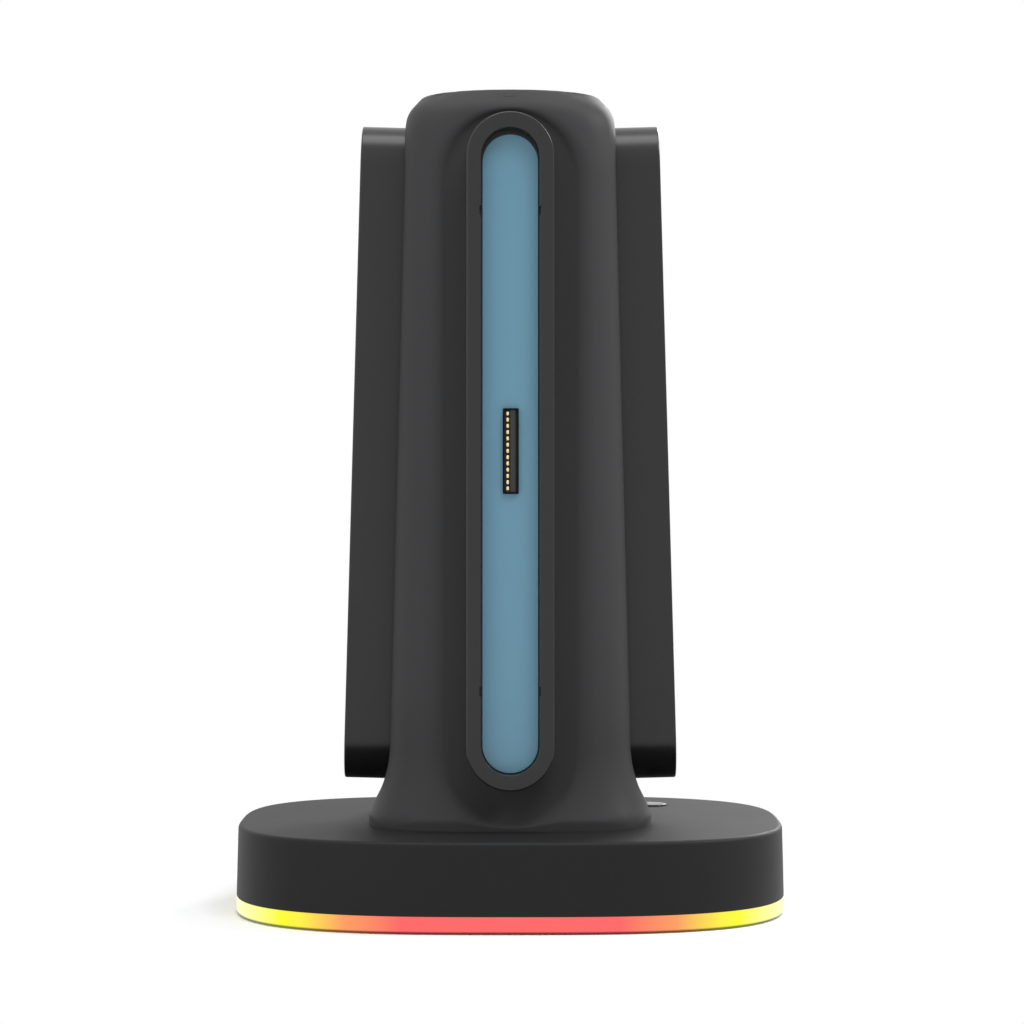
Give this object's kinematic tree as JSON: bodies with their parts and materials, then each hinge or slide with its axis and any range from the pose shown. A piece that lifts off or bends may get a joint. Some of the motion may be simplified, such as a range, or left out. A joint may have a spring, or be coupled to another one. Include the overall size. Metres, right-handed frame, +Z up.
{
  "type": "controller charging dock",
  "caption": "Four-sided charging tower for handheld game controllers, with a sunk docking channel on each side and an oval base with a light ring.",
  "frame": {"origin": "on the floor under the tower's axis, at the middle of the base", "axes": "+Z up, -Y towards the front station, +X to the right seen from the front"},
  "size_m": [0.09, 0.0814, 0.1339],
  "materials": {
    "black_shell": "fine matt texture",
    "black_plate": "fine matt texture",
    "black_button": "smooth matt",
    "lit_diffuser": "frosted, lit from behind",
    "blue_strip": "smooth satin",
    "dark_insulator": "satin",
    "gold_contact": "gold plated",
    "smoked_window": "smoked, glossy",
    "rubber": "matt",
    "zinc_screw": "zinc plated",
    "steel_plate": "cold rolled",
    "inlet_steel": "satin",
    "magnet": "nickel plated",
    "circuit_board": "solder mask",
    "board_parts": "moulded chips and sockets",
    "lamp": "clear resin",
    "cable_jacket": "soft jacket"
  },
  "bodies": {
    "dock": {"base_housing": "black_shell", "light_ring": "lit_diffuser", "base_plate": "black_plate", "rubber_feet": "rubber", "base_screws": "zinc_screw", "ballast_plate": "steel_plate", "main_board": "circuit_board", "board_parts": "board_parts", "board_screws": "zinc_screw", "light_board": "circuit_board", "ring_lamps": "lamp", "power_inlet": "inlet_steel", "inlet_tongue": "dark_insulator", "mode_switch": "inlet_steel", "tower_front_shell": "black_shell", "tower_rear_shell": "black_shell", "tower_screws": "zinc_screw", "dock_screws": "zinc_screw", "indicator_windows": "smoked_window", "indicator_board": "circuit_board", "indicator_lamps": "lamp", "wire_harness": "cable_jacket", "front_dock_block": "black_shell", "front_channel_strip": "blue_strip", "front_connector": "dark_insulator", "front_contacts": "gold_contact", "front_dock_board": "circuit_board", "front_magnets": "magnet", "right_dock_block": "black_shell", "right_channel_strip": "blue_strip", "right_connector": "dark_insulator", "right_contacts": "gold_contact", "right_dock_board": "circuit_board", "right_magnets": "magnet", "rear_dock_block": "black_shell", "rear_channel_strip": "blue_strip", "rear_connector": "dark_insulator", "rear_contacts": "gold_contact", "rear_dock_board": "circuit_board", "rear_magnets": "magnet", "left_dock_block": "black_shell", "left_channel_strip": "blue_strip", "left_connector": "dark_insulator", "left_contacts": "gold_contact", "left_dock_board": "circuit_board", "left_magnets": "magnet"},
    "mode_button": {"mode_button": "black_button", "switch_plunger": "dark_insulator"}
  },
  "joints": [
    {"name": "mode_button_press", "type": "slide", "parent": "dock", "child": "mode_button", "axis": [0, 0, -1], "range_m": [0, 0.0005], "stiffness_N_per_m": 300, "springref_m": -0.0005}
  ]
}
